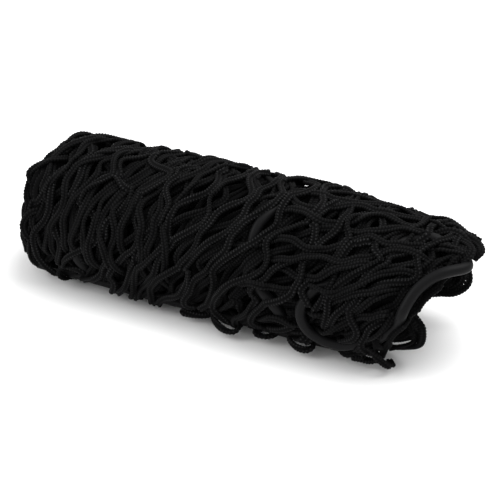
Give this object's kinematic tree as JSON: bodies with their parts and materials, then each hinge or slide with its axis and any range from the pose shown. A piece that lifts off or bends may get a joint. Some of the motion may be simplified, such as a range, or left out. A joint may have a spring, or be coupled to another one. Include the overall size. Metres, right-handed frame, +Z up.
{
  "type": "rolled cargo net",
  "caption": "Knotless knitted elastic cargo net with a round shock-cord border, rolled up into a loose bundle; the outer end of the net is a flap that lifts off the roll.",
  "frame": {"origin": "on the surface the roll lies on, under the middle of its bounding box", "axes": "+X along the roll towards its open right-hand mouth, +Y to the back away from the loose hem, +Z up"},
  "size_m": [0.3868, 0.1226, 0.1095],
  "materials": {
    "knitted_cord": "matte black knitted cord",
    "border_cord": "satin black woven sheath over elastic"
  },
  "bodies": {
    "roll": {"mesh_cord_01": "knitted_cord", "mesh_cord_02": "knitted_cord", "mesh_cord_03": "knitted_cord", "mesh_cord_04": "knitted_cord", "mesh_cord_05": "knitted_cord", "mesh_cord_06": "knitted_cord", "mesh_cord_07": "knitted_cord", "mesh_cord_08": "knitted_cord", "mesh_cord_09": "knitted_cord", "mesh_cord_10": "knitted_cord", "mesh_cord_11": "knitted_cord", "mesh_cord_12": "knitted_cord", "mesh_cord_13": "knitted_cord", "mesh_cord_14": "knitted_cord", "mesh_cord_15": "knitted_cord", "mesh_cord_16": "knitted_cord", "mesh_cord_17": "knitted_cord", "mesh_cord_18": "knitted_cord", "mesh_cord_19": "knitted_cord", "mesh_cord_20": "knitted_cord", "mesh_cord_21": "knitted_cord", "mesh_cord_22": "knitted_cord", "border_cord_core": "border_cord", "border_cord_left": "border_cord", "border_cord_right": "border_cord"},
    "flap": {"flap_cord_01": "knitted_cord", "flap_cord_02": "knitted_cord", "flap_cord_03": "knitted_cord", "flap_cord_04": "knitted_cord", "flap_cord_05": "knitted_cord", "flap_cord_06": "knitted_cord", "flap_cord_07": "knitted_cord", "flap_cord_08": "knitted_cord", "flap_cord_09": "knitted_cord", "flap_cord_10": "knitted_cord", "flap_cord_11": "knitted_cord", "flap_cord_12": "knitted_cord", "flap_cord_13": "knitted_cord", "flap_cord_14": "knitted_cord", "flap_cord_15": "knitted_cord", "flap_cord_16": "knitted_cord", "flap_cord_17": "knitted_cord", "flap_cord_18": "knitted_cord", "flap_cord_19": "knitted_cord", "flap_cord_20": "knitted_cord", "flap_cord_21": "knitted_cord", "flap_cord_22": "knitted_cord", "border_cord_hem": "border_cord", "flap_border_left": "border_cord", "flap_border_right": "border_cord", "hem_loop_1": "knitted_cord", "hem_loop_2": "knitted_cord", "hem_loop_3": "knitted_cord", "hem_loop_4": "knitted_cord", "hem_loop_5": "knitted_cord", "border_bight_left": "border_cord", "border_bight_middle": "border_cord", "border_bight_right": "border_cord"}
  },
  "joints": [
    {"name": "flap_lift", "type": "hinge", "parent": "roll", "child": "flap", "pos_m": [0, 0.00725, 0.1099], "axis": [-1, 0, 0], "range_deg": [0, 55]}
  ]
}
